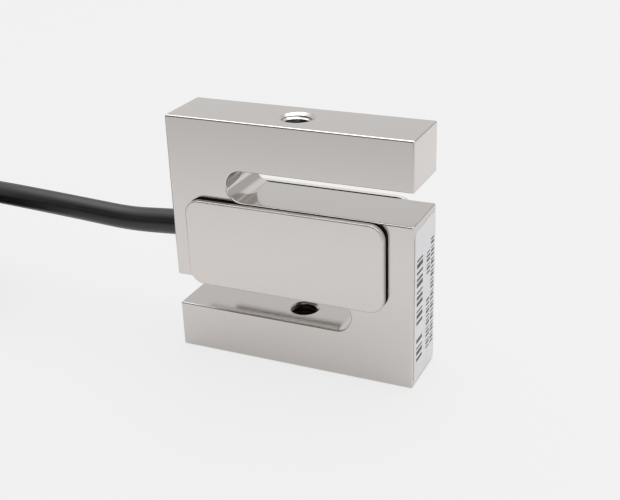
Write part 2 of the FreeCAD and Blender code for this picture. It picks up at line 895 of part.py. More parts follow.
def cable_hank():
    """The outer shape of the folded cable. The top row is a turn short at the right-hand end,
    where the cable comes in and its far end lies."""
    diameter, bend = size("cable_diameter"), size("hank_inner_bend")
    inner, seam, outer = bend - diameter / 2, bend + diameter / 2, bend + 1.5 * diameter
    right, left = -size("hank_right"), -size("hank_right") - size("hank_straight")
    far_left = left - outer
    low = (size("hank_rows") - 1) * diameter
    high = low + diameter
    loops = oval_ring(inner, outer, 0, low)
    top_outer = oval_ring(seam, outer, low, high)
    top_inner = oval_ring(inner, seam, low, high)
    join = -size("lead_join")
    pieces = [
        part_of(top_outer, far_left, right, front=True),
        part_of(top_outer, far_left, join, front=False),
        part_of(top_inner, far_left, left, front=True),
        part_of(top_inner, far_left, join, front=False),
    ]
    hank = loops.fuse(pieces).removeSplitter()
    shaped("cable_hank", hank.cut([tie_band(place) for place in tie_places()]))


def tie_places():
    """Where each tie is: along X, and the middle of its bundle of cable across it."""
    column = size("hank_inner_bend") + size("cable_diameter") / 2
    return [
        (-size("back_tie"), hank_middle() + column),
        (-size("front_tie"), hank_middle() - column),
    ]


def tie_band(place):
    """A strap round one side of the hank. Its bottom lies in the floor's plane."""
    x, y = place
    wide, thick = size("tie_width"), size("tie_thickness")
    half, top = size("cable_diameter"), size("hank_rows") * size("cable_diameter")
    start = Vector(x - wide / 2, y - half - thick, 0)
    around = Part.makeBox(wide, 2 * (half + thick), top + thick, start)
    bundle = Part.makeBox(wide, 2 * half, top - thick, start + Vector(0, thick, thick))
    return around.cut(bundle)


def hank_ties():
    ties = []
    top = size("hank_rows") * size("cable_diameter") + size("tie_thickness")
    head, height = size("tie_head"), size("tie_head_height")
    for x, y in tie_places():
        lock = Part.makeBox(head, head, height, Vector(x - head / 2, y - head / 2, top))
        ties.append(tie_band((x, y)).fuse(lock).removeSplitter())
    shaped("hank_ties", Part.Compound(ties))


# --- the far end of the cable -------------------------------------------------------------------


def tail_frame():
    """Where the last turn ends, along X, Y and Z; the far end then runs along +X."""
    left = -size("hank_right") - size("hank_straight")
    return left, hank_middle() - size("hank_inner_bend"), row_height(size("hank_rows") - 1)


def cable_tail():
    x, y, z = tail_frame()
    length, wall = size("tail_length"), size("sleeve_wall")
    points = [
        (x, y, z),
        (x + size("tail_rise_start"), y, z),
        (x + size("tail_rise_end"), y + wall, z + wall),
        (x + length, y + wall, z + wall),
    ]
    radius = size("cable_diameter") / 2
    shaped("cable_tail", tube(points, 2 * radius, "cable_tail"))
    sleeve_start = x + length - size("sleeve_length") + size("sleeve_overhang")
    axis = Vector(1, 0, 0)
    start = Vector(sleeve_start, y + wall, z + wall)
    outside = Part.makeCylinder(radius + wall, size("sleeve_length"), start, axis)
    inside = Part.makeCylinder(radius, size("sleeve_length"), start, axis)
    shaped("tail_sleeve", outside.cut(inside))


# How each core of the far end comes to rest in the trough on top of the hank: its place
# across the trough, and the shares of its length where it starts to drop and lies down.
TAIL_FAN = {
    "white": (-2.3, 0.14, 0.45),
    "black": (-1.05, 0.3, 0.75),
    "red": (0.25, 0.3, 0.75),
    "green": (1.5, 0.14, 0.45),
}


def tail_route(colour):
    across, up = CORES[colour]
    end_y, drops_at, lies_at = TAIL_FAN[colour]
    x, y, z = tail_frame()
    y += size("sleeve_wall")
    z += size("sleeve_wall")
    start, ring = x + size("tail_length"), size("core_ring")
    rest = (size("hank_rows") - 1) * size("cable_diameter") + size("core_diameter") / 2
    length = size("tail_core_length") - size("tip_length")
    return [
        (start, y + across * ring, z + up * ring),
        (start + drops_at * length, y + across * ring, z + up * ring),
        (start + lies_at * length, y + end_y, rest + size("tail_core_slope")),
        (start + length, y + end_y, rest),
    ]


def tail_cores():
    tips = []
    for colour in CORES:
        route = tail_route(colour)
        shaped("tail_" + colour, tube(route, size("core_diameter"), "tail_" + colour))
        before, end = Vector(*route[-2]), Vector(*route[-1])
        tips.append(
            Part.makeCylinder(size("tip_diameter") / 2, size("tip_length"), end, end - before)
        )
    shaped("tail_tips", Part.Compound(tips))


# --- build, check and write --------------------------------------------------------------------


def build():
    spring_body()
    for side in SIDES:
        cover_seal(side)
        cover(side)
    side_label()
    for place in GAUGES:
        strain_gauge(place)
        gauge_leads(place)
    terminal_board()
    solder_joints()
    trim_resistors()
    cable_bush()
    cable_clamp()
    cable_inlet()
    for colour in CORES:
        core(colour)
    cable_lead()
    cable_hank()
    hank_ties()
    cable_tail()
    tail_cores()
    doc.recompute()


def check():
    """No object failed, and every node is a whole, valid shape."""
    for obj in doc.Objects:
        if "Invalid" in obj.State or "Error" in obj.State:
            raise RuntimeError(f"{obj.Label} failed: {obj.State}")
    for obj in nodes:
        shape = obj.Shape
        if shape.isNull() or not shape.isValid() or not shape.Solids:
            raise RuntimeError(f"{obj.Label} has no valid solid")


def write():
    os.makedirs("parts", exist_ok=True)
    for obj in nodes:
        obj.Shape.exportStep(f"parts/{obj.Label}.step")
        box = obj.Shape.BoundBox
        print(
            f"{obj.Label:20s} solids {len(obj.Shape.Solids)}  volume {obj.Shape.Volume:10.2f}",
            f" x {box.XMin:.2f}..{box.XMax:.2f} y {box.YMin:.2f}..{box.YMax:.2f}",
            f"z {box.ZMin:.2f}..{box.ZMax:.2f}",
        )


build()
check()
write()
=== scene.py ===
"""An s-type load cell on a pale studio floor: a plated S body, its covers, label and cable.

Lengths are in metres, +Z is the load axis, and the lower threaded hole opens at the origin.
"""

import logging
import math
from collections.abc import Iterator
from contextlib import contextmanager
from dataclasses import dataclass
from enum import Enum

import bmesh
import bpy
import numpy as np
from mathutils import Matrix, Vector


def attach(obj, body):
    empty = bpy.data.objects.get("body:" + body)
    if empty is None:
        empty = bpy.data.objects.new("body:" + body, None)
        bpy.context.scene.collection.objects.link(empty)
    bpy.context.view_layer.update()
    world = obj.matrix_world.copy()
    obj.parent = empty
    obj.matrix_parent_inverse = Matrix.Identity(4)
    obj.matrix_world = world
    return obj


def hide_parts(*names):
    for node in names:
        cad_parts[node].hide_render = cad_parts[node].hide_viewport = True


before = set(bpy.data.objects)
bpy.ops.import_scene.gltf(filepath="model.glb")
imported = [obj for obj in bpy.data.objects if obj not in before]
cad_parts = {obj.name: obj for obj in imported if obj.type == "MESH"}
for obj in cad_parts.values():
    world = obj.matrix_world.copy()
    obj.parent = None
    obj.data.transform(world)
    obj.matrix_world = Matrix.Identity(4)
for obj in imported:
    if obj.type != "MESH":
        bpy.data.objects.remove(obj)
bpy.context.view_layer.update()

MM = 0.001
WELD = 0.001 * MM
NOISE_MIDDLE = (0.3, 0.7)
log = logging.getLogger("load_cell")


class Arm(Enum):
    """The two arms of the S, which carry a thread each."""

    UPPER = "upper"
    LOWER = "lower"


class Side(Enum):
    """The two broad faces of the body, which carry a cover each."""

    FRONT = "front"
    REAR = "rear"


# --- node graphs and finishes ---------------------------------------------------------------


class Graph:
    """A node tree, built a node at a time."""

    def __init__(self, tree: bpy.types.NodeTree) -> None:
        """Work on one tree.

        Args:
            tree: the tree of a material or a world.
        """
        self.tree = tree

    def add(self, kind: str, **inputs: object) -> bpy.types.Node:
        """Add a node and fill its inputs.

        Args:
            kind: the node's type name.
            **inputs: values or sockets by input name, with _ for a space.

        Returns:
            The new node.
        """
        made = self.tree.nodes.new(kind)
        for key, value in inputs.items():
            self.put(made, key.replace("_", " "), value)
        return made

    def put(self, node: bpy.types.Node, key: str | int, value: object) -> None:
        """Set or link one input.

        Args:
            node: the node that has the input.
            key: the input's name or number.
            value: a plain value, or a socket to link.
        """
        if isinstance(value, bpy.types.NodeSocket):
            self.tree.links.new(value, node.inputs[key])
        else:
            node.inputs[key].default_value = value

    def level(
        self, value: bpy.types.NodeSocket, ends: tuple, levels: tuple, smooth: bool = False
    ) -> bpy.types.NodeSocket:
        """A level that runs from one to another between two ends, and is held beyond them.

        Args:
            value: the socket that drives it.
            ends: the values at which the run starts and stops.
            levels: the level at each end, as a number or a socket.
            smooth: whether it eases in and out, as 3t^2 - 2t^3.

        Returns:
            The level's socket.
        """
        made = self.add("ShaderNodeMapRange", Value=value)
        made.interpolation_type = "SMOOTHSTEP" if smooth else "LINEAR"
        for key, number in zip(("From Min", "From Max", "To Min", "To Max"), (*ends, *levels)):
            self.put(made, key, number)
        return made.outputs["Result"]

    def maths(self, operation: str, *values: object) -> bpy.types.NodeSocket:
        """One step of arithmetic.

        Args:
            operation: the Math node's operation.
            *values: its numbers or sockets, in order.

        Returns:
            The result's socket.
        """
        made = self.add("ShaderNodeMath")
        made.operation = operation
        for key, value in enumerate(values):
            self.put(made, key, value)
        return made.outputs[0]


class Surface(Graph):
    """A material's node tree, round its Principled shader."""

    def __init__(self, name: str) -> None:
        """Start a plain material.

        Args:
            name: the material's name.
        """
        self.material = bpy.data.materials.new(name)
        self.material.use_nodes = True
        super().__init__(self.material.node_tree)
        self.shader = self.tree.nodes["Principled BSDF"]
        self.place = self.add("ShaderNodeTexCoord").outputs["Object"]

    def shade(self, **inputs: object) -> None:
        """Fill inputs of the Principled shader.

        Args:
            **inputs: values or sockets by input name, with _ for a space.
        """
        for key, value in inputs.items():
            self.put(self.shader, key.replace("_", " "), value)

    def show(self, shader: bpy.types.NodeSocket) -> None:
        """Make another shader the material's surface."""
        self.tree.links.new(shader, self.tree.nodes["Material Output"].inputs["Surface"])

    def noise(self, scale: float, detail: float = 2.0, stretch: tuple = (1, 1, 1)) -> bpy.types.NodeSocket:
        """Noise in the object's own coordinates.

        Args:
            scale: cells per metre.
            detail: octaves.
            stretch: scale of each axis before the noise.

        Returns:
            The noise's 0 to 1 output.
        """
        mapping = self.add("ShaderNodeMapping", Vector=self.place, Scale=stretch)
        made = self.add("ShaderNodeTexNoise", Vector=mapping.outputs[0], Scale=scale, Detail=detail)
        return made.outputs["Fac"]

    def span(self, noise: bpy.types.NodeSocket, low: float, high: float) -> bpy.types.NodeSocket:
        """The middle of a noise, stretched over low to high."""
        return self.level(noise, NOISE_MIDDLE, (low, high))

    def blend(self, amount: bpy.types.NodeSocket, first: tuple, second: tuple) -> bpy.types.NodeSocket:
        """Mix two colours by a socket.

        Args:
            amount: share of the second colour.
            first: colour at 0.
            second: colour at 1.

        Returns:
            The mixed colour's socket.
        """
        made = self.add("ShaderNodeMix")
        made.data_type = "RGBA"
        self.put(made, "Factor", amount)
        # Inputs 6 and 7 of a Mix node are its two colours.
        self.put(made, 6, (*first, 1))
        self.put(made, 7, (*second, 1))
        return made.outputs[2]

    def bump(self, height: bpy.types.NodeSocket, depth: float) -> None:
        """Give the shader a bump.

        Args:
            height: the height's socket, 0 to 1.
            depth: real height of 1, in metres.
        """
        made = self.add("ShaderNodeBump", Height=height, Distance=depth, Strength=1.0)
        self.shade(Normal=made.outputs[0])


@dataclass(frozen=True)
class PlatedMetal:
    """Nickel plate on smooth metal: a fine grain, faint clouding, and a mirror under it."""

    name: str
    tint: tuple = (0.62, 0.588, 0.566)
    rough: tuple = (0.1, 0.13)
    patches: float = 900.0
    clouds: float = 60.0
    cloud_shade: float = 0.985
    grain: float = 5000.0
    grain_depth: float = 0.0001 * MM

    def roughness(self, g: Surface) -> bpy.types.NodeSocket:
        """The plate's roughness, which varies a little from patch to patch."""
        return g.span(g.noise(self.patches, detail=4), *self.rough)

    def material(self) -> bpy.types.Material:
        """Make the finish.

        Returns:
            The material.
        """
        g = Surface(self.name)
        clouds = g.span(g.noise(self.clouds, detail=3), 0, 1)
        shade = tuple(self.cloud_shade * c for c in self.tint)
        g.shade(Base_Color=g.blend(clouds, shade, self.tint), Metallic=1.0, Roughness=self.roughness(g))
        g.bump(g.noise(self.grain), self.grain_depth)
        return g.material


@dataclass(frozen=True)
class EdgedPlate(PlatedMetal):
    """Plated sheet whose walls are near-black up to a distance from the body's middle."""

    sealed_to: float = 7.0 * MM
    face: float = 8.05 * MM
    soft: float = 0.03 * MM
    sealant: tuple = (0.004, 0.0035, 0.003)
    rim_rough: float = 0.45

    def material(self) -> bpy.types.Material:
        """Make the finish, with a duller rim between the near-black wall and the flat face.

        Returns:
            The material.
        """
        g = Surface(self.name)
        away = g.maths("ABSOLUTE", g.add("ShaderNodeSeparateXYZ", Vector=g.place).outputs["Y"])
        # The walls are near-black nearer the body's middle than this distance, and plated beyond it.
        plated = g.level(away, (self.sealed_to - self.soft, self.sealed_to + self.soft), (0, 1))
        rough = g.level(away, (self.face - self.soft, self.face), (self.rim_rough, self.roughness(g)))
        g.shade(
            Base_Color=g.blend(plated, self.sealant, self.tint),
            Metallic=plated,
            Roughness=rough,
            Specular_IOR_Level=0.0,
        )
        g.bump(g.noise(self.grain), self.grain_depth)
        return g.material


@dataclass(frozen=True)
class ThreadMetal(PlatedMetal):
    """Plate in a threaded hole, darkened by painted shade with depth below the hole's mouth."""

    rough: tuple = (0.16, 0.24)
    grain: float = 3000.0
    grain_depth: float = 0.001 * MM
    stretch: tuple = (1, 1, 4)
    # Painted shade: the near-black colour deep in the hole.
    inside: tuple = (0.07, 0.06, 0.053)
    plated_to: float = 0.6 * MM
    full_shade_depth: float = 2.2 * MM

    def material(self) -> bpy.types.Material:
        """Make the finish, which follows the mesh's own depth below the hole's mouth.

        Returns:
            The material.
        """
        g = Surface(self.name)
        depth = g.add("ShaderNodeAttribute")
        depth.attribute_name = "depth"
        # Painted shade: the colour darkens with depth down the hole, where shade falls.
        bare = g.level(depth.outputs["Fac"], (self.plated_to, self.full_shade_depth), (0, 1))
        g.shade(Base_Color=g.blend(bare, self.tint, self.inside), Metallic=1.0, Roughness=self.roughness(g))
        g.bump(g.noise(self.grain, detail=3, stretch=self.stretch), self.grain_depth)
        return g.material


@dataclass(frozen=True)
class Moulded:
    """Plastic, rubber or resin: a colour that varies a little, with a soft gloss and pores."""

    name: str
    colour: tuple
    shade: tuple
    rough: tuple = (0.4, 0.55)
    pores: float = 2500.0
    depth: float = 0.01 * MM
    stretch: tuple = (1, 1, 1)
    gloss: float = 0.5
    clouds: float = 250.0
    patches: float = 600.0

    def material(self) -> bpy.types.Material:
        """Make the finish.

        Returns:
            The material.
        """
        g = Surface(self.name)
        clouds = g.span(g.noise(self.clouds, detail=3), 0, 1)
        g.shade(
            Base_Color=g.blend(clouds, self.shade, self.colour),
            Roughness=g.span(g.noise(self.patches, detail=3), *self.rough),
            Specular_IOR_Level=self.gloss,
        )
        g.bump(g.noise(self.pores, detail=3, stretch=self.stretch), self.depth)
        return g.material


@dataclass(frozen=True)
class Metal:
    """A small bare metal piece: copper, brass, solder or foil."""

    name: str
    colour: tuple
    shade: tuple
    rough: tuple = (0.25, 0.4)
    clouds: float = 800.0
    patches: float = 1500.0
    grain: float = 6000.0
    grain_depth: float = 0.002 * MM

    def material(self) -> bpy.types.Material:
        """Make the finish.

        Returns:
            The material.
        """
        g = Surface(self.name)
        clouds = g.span(g.noise(self.clouds, detail=3), 0, 1)
        g.shade(
            Base_Color=g.blend(clouds, self.shade, self.colour),
            Metallic=1.0,
            Roughness=g.span(g.noise(self.patches, detail=3), *self.rough),
        )
        g.bump(g.noise(self.grain), self.grain_depth)
        return g.material


PLATE = PlatedMetal("nickel plate")
COVER_PLATES = {
    # Each cover's walls are near-black up to its own distance from the body's middle.
    Side.FRONT: EdgedPlate("front cover plate", sealed_to=7.08 * MM),
    Side.REAR: EdgedPlate("rear cover plate", sealed_to=6.72 * MM),
}
# Each hole's plate darkens with depth by painted shade, sooner in the lower hole.
THREADS = {
    Arm.UPPER: ThreadMetal("upper thread"),
    Arm.LOWER: ThreadMetal("lower thread", plated_to=0.4 * MM, full_shade_depth=0.8 * MM),
}
INK = Moulded("label ink", (0.028, 0.028, 0.032), (0.02, 0.02, 0.024), (0.35, 0.5), 5000, 0.002 * MM)

NODE_FINISHES = {
    "cable_jacket": Moulded(
        "cable jacket", (0.009, 0.009, 0.009), (0.006, 0.006, 0.006), (0.31, 0.37), 3500, 0.008 * MM
    ),
    "bush_rubber": Moulded(
        "bush rubber", (0.02, 0.02, 0.021), (0.012, 0.012, 0.013), (0.5, 0.65), 4000, 0.015 * MM
    ),
    "sealant": Moulded(
        "black sealant", (0.008, 0.007, 0.006), (0.004, 0.004, 0.003), (0.5, 0.6), gloss=0.05
    ),
    "label_stock": Moulded(
        "label film", (0.815, 0.815, 0.83), (0.79, 0.79, 0.805), (0.32, 0.42), 5000, 0.002 * MM
    ),
    "tie_nylon": Moulded(
        "tie nylon",
        colour=(0.025, 0.025, 0.026),
        shade=(0.015, 0.015, 0.016),
        rough=(0.3, 0.42),
        pores=1400,
        depth=0.05 * MM,
        stretch=(0.01, 0.01, 1),
    ),
    "shrink_sleeve": Moulded("shrink sleeve", (0.02, 0.02, 0.02), (0.012, 0.012, 0.012), (0.45, 0.6)),
    "circuit_board": Moulded("board laminate", (0.05, 0.16, 0.07), (0.03, 0.11, 0.05), (0.3, 0.4)),
    "ceramic_chip": Moulded("chip body", (0.03, 0.03, 0.032), (0.02, 0.02, 0.02)),
    "insulation_red": Moulded("red insulation", (0.52, 0.035, 0.03), (0.42, 0.025, 0.022)),
    "insulation_black": Moulded("black insulation", (0.02, 0.02, 0.02), (0.014, 0.014, 0.014)),
    "insulation_green": Moulded("green insulation", (0.03, 0.26, 0.08), (0.022, 0.2, 0.06)),
    "insulation_white": Moulded("white insulation", (0.72, 0.71, 0.68), (0.64, 0.63, 0.6)),
    "solder": Metal("solder", (0.72, 0.72, 0.7), (0.6, 0.6, 0.58)),
    "gauge_foil": Metal("gauge foil", (0.62, 0.5, 0.36), (0.52, 0.42, 0.3)),
    "lead_wire": Metal("lead wire", (0.72, 0.45, 0.28), (0.62, 0.38, 0.24)),
    "crimp_brass": Metal("brass crimp", (0.7, 0.55, 0.28), (0.6, 0.46, 0.22)),
    "tinned_copper": Metal("tinned copper", (0.72, 0.71, 0.68), (0.6, 0.58, 0.55), (0.2, 0.35)),
}


# --- meshes ----------------------------------------------------------------------------------


def put_in_scene(name: str, data: bpy.types.ID) -> bpy.types.Object:
    """Put a mesh, curve, lamp or camera in the scene.

    Args:
        name: the object's name.
        data: what it shows.

    Returns:
        The object, at the origin.
    """
    made = bpy.data.objects.new(name, data)
    bpy.context.scene.collection.objects.link(made)
    return made


def add_piece(name: str, mesh: bpy.types.Mesh, finishes: list) -> bpy.types.Object:
    """Put a mesh in the scene as a piece of the load cell.

    Args:
        name: the piece's name.
        mesh: its mesh, in the part's own frame.
        finishes: materials, in slot order.

    Returns:
        The piece's object.
    """
    piece = put_in_scene(name, mesh)
    mesh.materials.clear()
    for finish in finishes:
        mesh.materials.append(finish)
    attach(piece, "root")
    log.info("%s: %d faces", name, len(mesh.polygons))
    return piece


def grid_faces(rows: int, columns: int) -> np.ndarray:
    """Quads between neighbouring rows and columns of a grid of points that runs round.

    Each quad joins (i, j), (i+1, j), (i+1, j+1) and (i, j+1), and the last column joins the first.

    Args:
        rows: number of rows.
        columns: number of columns.

    Returns:
        Vertex numbers, one row of four for each quad.
    """
    i, j = np.meshgrid(np.arange(rows - 1), np.arange(columns), indexing="ij")
    k = (j + 1) % columns
    quads = np.stack([i * columns + j, (i + 1) * columns + j, (i + 1) * columns + k, i * columns + k], -1)
    return quads.reshape(-1, 4)


def mesh_of(name: str, points: np.ndarray, faces: np.ndarray | list, smooth: bool = True) -> bpy.types.Mesh:
    """A mesh from points and faces.

    Args:
        name: the mesh's name.
        points: vertices, one row each.
        faces: vertex numbers of each face.
        smooth: shade it smooth.

    Returns:
        The mesh.
    """
    mesh = bpy.data.meshes.new(name)
    mesh.from_pydata(points.reshape(-1, 3).tolist(), [], np.asarray(faces).tolist())
    mesh.polygons.foreach_set("use_smooth", [smooth] * len(mesh.polygons))
    mesh.update()
    return mesh


@contextmanager
def opened(mesh: bpy.types.Mesh) -> Iterator[bmesh.types.BMesh]:
    """Open a mesh for editing, and write it back afterwards.

    Args:
        mesh: the mesh.

    Yields:
        Its editable form.
    """
    work = bmesh.new()
    work.from_mesh(mesh)
    yield work
    work.to_mesh(mesh)
    work.free()


def merged_mesh(node: str, name: str) -> bpy.types.Mesh:
    """A copy of a CAD node's mesh with its loose triangles joined.

    Args:
        node: the CAD node.
        name: the copy's name.

    Returns:
        The joined mesh.
    """
    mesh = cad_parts[node].data.copy()
    mesh.name = name
    if "custom_normal" in mesh.attributes:
        mesh.attributes.remove(mesh.attributes["custom_normal"])
    with opened(mesh) as work:
        bmesh.ops.remove_doubles(work, verts=work.verts, dist=WELD)
    return mesh


def even_shading(piece: bpy.types.Object, sharp: float = 32.0, weight: int = 100) -> None:
    """Keep flat faces flat and round edges round.

    Args:
        piece: the piece to shade.
        sharp: edges over this many degrees stay sharp.
        weight: how much a large face counts over a narrow one, up to 100.
    """
    piece.data.polygons.foreach_set("use_smooth", [True] * len(piece.data.polygons))
    piece.data.set_sharp_from_angle(angle=math.radians(sharp))
    weighted = piece.modifiers.new("even shading", "WEIGHTED_NORMAL")
    weighted.keep_sharp = True
    weighted.weight = weight


def triples(items: bpy.types.bpy_prop_collection, key: str) -> np.ndarray:
    """Places or directions of a mesh's vertices or faces as an array.

    Args:
        items: the vertices or the faces.
        key: "co" of vertices, or "center" or "normal" of faces.

    Returns:
        One row of three for each item.
    """
    values = np.empty(3 * len(items))
    items.foreach_get(key, values)
    return values.reshape(-1, 3)


# --- the plated body and its threads ------------------------------------------------------------


@dataclass
class SpringBody:
    """The S-shaped block, with an M6 thread cut through each arm.

    The thread's phase is a share of its pitch, and crest and flank are shares of its wave. A face
    is level where its normal's height is over level_face.
    """

    height: float = 49.5 * MM
    half_width: float = 25.0 * MM
    half_depth: float = 6.35 * MM
    arm: float = 9.7 * MM
    link: float = 12.4 * MM
    slot_radius: float = 3.2 * MM
    edge: float = 0.251 * MM
    edge_growth: float = 0.3
    minor_radius: float = 2.5 * MM
    major_radius: float = 3.0 * MM
    pitch: float = 1.0 * MM
    phase: float = 0.3
    crest: float = 0.22
    flank: float = 0.66
    outer_mouth: float = 3.4 * MM
    inner_mouth: float = 3.0 * MM
    level_face: float = 0.9
    columns: int = 96
    rows_per_turn: int = 18

    @property
    def slot_up(self) -> float:
        """How far a slot's middle is above or below the block's own."""
        return self.height / 2 - self.arm - self.slot_radius

    @property
    def slot_centre(self) -> float:
        """How far the axis of a slot's round end is from the load axis."""
        return self.half_width - self.link - self.slot_radius

    def thread(self, arm: Arm) -> tuple[np.ndarray, np.ndarray]:
        """Points of one threaded hole, from the lower mouth to the upper one.

        The radius at height z and angle a is the larger of two: the 45 degree mouths, and a
        trapezoid wave of (z / pitch - a / full turn) between the minor and major radius.

        Args:
            arm: which arm the hole is in.

        Returns:
            A grid of points, heights by angles, and how deep each is below the nearer mouth.
        """
        bottom = 0.0 if arm is Arm.LOWER else self.height - self.arm
        mouths = (self.outer_mouth, self.inner_mouth)
        low_mouth, high_mouth = mouths if arm is Arm.LOWER else mouths[::-1]
        rows = round(self.arm / self.pitch * self.rows_per_turn)
        up = np.linspace(0, self.arm, rows + 1)[:, None]
        around = np.linspace(0, 2 * math.pi, self.columns, endpoint=False)[None, :]
        wave = np.abs(2 * ((up / self.pitch - around / (2 * math.pi) + self.phase) % 1) - 1)
        groove = np.clip((wave - self.crest) / self.flank, 0, 1)
        radius = self.minor_radius + groove * (self.major_radius - self.minor_radius)
        radius = np.maximum(radius, low_mouth - up)
        radius = np.maximum(radius, high_mouth - (self.arm - up))
        radius = np.where(up <= 0, low_mouth, np.where(up >= self.arm, high_mouth, radius))
        height = np.broadcast_to(bottom + up, radius.shape)
        depth = np.broadcast_to(np.minimum(up, self.arm - up), radius.shape)
        return np.stack([radius * np.cos(around), radius * np.sin(around), height], -1), depth

    def without_bores(self, mesh: bpy.types.Mesh) -> None:
        """Take the plain hole walls and mouths out of the block's mesh.

        They are the faces within the mouth's radius of the load axis, inside an arm's height, that
        aren't level.

        Args:
            mesh: the block's joined mesh.
        """
        x, y, z = triples(mesh.polygons, "center").T
        leaning = np.abs(triples(mesh.polygons, "normal")[:, 2]) < self.level_face
        in_arm = (z < self.arm) | (z > self.height - self.arm)
        walls = np.flatnonzero((np.hypot(x, y) < self.outer_mouth) & in_arm & leaning)
        with opened(mesh) as work:
            work.faces.ensure_lookup_table()
            bmesh.ops.delete(work, geom=[work.faces[i] for i in walls], context="FACES")

    def widen_edges(self, mesh: bpy.types.Mesh) -> None:
        """Make every rounded edge of the block as wide as plating and polishing leave it.

        A point that lies less than the edge radius inside a face moves away from that face by the
        share that the radius grows. At the slot ends the face is round, and the point moves out
        from its axis.

        Args:
            mesh: the block's joined mesh.
        """
        x, y, z = triples(mesh.vertices, "co").T
        middle = self.height / 2
        # Half a turn about the block's middle lays the lower slot on the upper one.
        turn = np.where(z > middle, 1.0, -1.0)
        along, up = turn * x, turn * (z - middle)
        out, axis = along + self.slot_centre, up - self.slot_up
        round_end = out < 0
        away = np.where(round_end, np.hypot(np.minimum(out, 0), axis), np.abs(axis)) - self.slot_radius
        widen = self.edge_growth * np.where((away > 0) & (away < self.edge), away, 0)
        length = np.maximum(np.hypot(np.minimum(out, 0), axis), self.slot_radius)
        along += widen * np.where(round_end, out / length, 0)
        up += widen * axis / length
        x, z = turn * along, turn * up + middle
        for values, half, centre in ((x, self.half_width, 0), (y, self.half_depth, 0), (z, middle, middle)):
            inside = half - np.abs(values - centre)
            step = self.edge_growth * np.where(inside < self.edge, inside, 0)
            values -= step * np.sign(values - centre)
        mesh.vertices.foreach_set("co", np.stack([x, y, z], -1).ravel())

    def build(self, plate: bpy.types.Material, cuts: dict[Arm, bpy.types.Material]) -> None:
        """Make the block and its two threads.

        Args:
            plate: the plated finish.
            cuts: the finish inside each arm's thread.
        """
        mesh = merged_mesh("spring_body", "s_block")
        self.without_bores(mesh)
        self.widen_edges(mesh)
        block = add_piece("s_block", mesh, [plate])
        even_shading(block)
        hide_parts("spring_body")
        for arm in Arm:
            points, depth = self.thread(arm)
            mesh = mesh_of(f"{arm.value}_thread", points, grid_faces(*depth.shape))
            mesh.attributes.new("depth", "FLOAT", "POINT").data.foreach_set("value", depth.ravel())
            add_piece(mesh.name, mesh, [cuts[arm]])


# --- covers and label -----------------------------------------------------------------------------


@dataclass
class Covers:
    """The two glued cover plates over the gauge pocket.

    The front plate reaches a little below the beam and is a little shorter than the rear one. Edges
    over sharp degrees stay sharp.
    """

    across_middle: float = -0.65 * MM
    beam_middle: float = 24.75 * MM
    reach_below: float = 0.45 * MM
    end_trim: float = 0.2 * MM
    squeezed: float = 0.27 * MM
    sharp: float = 50.0

    def fit_front(self, mesh: bpy.types.Mesh) -> None:
        """Move the front plate's lower half down and its two ends in, and keep its corners round.

        Args:
            mesh: the front plate's joined mesh.
        """
        points = triples(mesh.vertices, "co")
        points[:, 2] -= self.reach_below * (points[:, 2] < self.beam_middle)
        points[:, 0] -= self.end_trim * np.sign(points[:, 0] - self.across_middle)
        mesh.vertices.foreach_set("co", points.ravel())

    def fit_seal(self, mesh: bpy.types.Mesh) -> None:
        """Squeeze a seal out until it is nearly level with its plate's edge.

        Args:
            mesh: the seal's joined mesh.
        """
        points = triples(mesh.vertices, "co")
        points[:, 0] += (self.squeezed - self.end_trim) * np.sign(points[:, 0] - self.across_middle)
        points[:, 2] += self.squeezed * np.sign(points[:, 2] - self.beam_middle)
        mesh.vertices.foreach_set("co", points.ravel())

    def build(self, plates: dict[Side, bpy.types.Material], sealant: bpy.types.Material) -> None:
        """Make both covers and their seals.

        Args:
            plates: the finish of each side's cover.
            sealant: the seals' finish.
        """
        for side in Side:
            node = f"{side.value}_cover"
            mesh = merged_mesh(node, f"{node}_plate")
            if side is Side.FRONT:
                self.fit_front(mesh)
            cover = add_piece(mesh.name, mesh, [plates[side]])
            even_shading(cover, self.sharp)
            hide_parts(node)
            seal_node = f"{node}_seal"
            seal_mesh = merged_mesh(seal_node, f"{seal_node}_bead")
            self.fit_seal(seal_mesh)
            bead = add_piece(seal_mesh.name, seal_mesh, [sealant])
            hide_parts(seal_node)


@dataclass(frozen=True)
class MarkRow:
    """One row of plain strokes: its middle across Y, its height there, and its runs along Z."""

    middle: float
    tall: float
    runs: tuple
    pitch: float
    stroke: float
    swing: float = 0.45
    beat: float = 2.3

    def corners(self, face: float) -> np.ndarray:
        """Corners of the strokes, each across the row.

        Stroke k starts at the run's low end plus k pitches. Its width is the stroke times
        (1 + swing sin(beat k)).

        Args:
            face: where the strokes are along X.

        Returns:
            Four corners for each stroke.
        """
        made = []
        for low, high in self.runs:
            count = np.arange(int((high - low) / self.pitch) + 1)[:, None]
            width = self.stroke * (1 + self.swing * np.sin(self.beat * count))
            up = low + count * self.pitch + np.array([0, 0, 1, 1]) * width
            across = np.broadcast_to(self.middle + np.array([-1, 1, 1, -1]) * self.tall / 2, up.shape)
            made.append(np.stack([np.full(up.shape, face), across, up], -1))
        return np.concatenate(made)


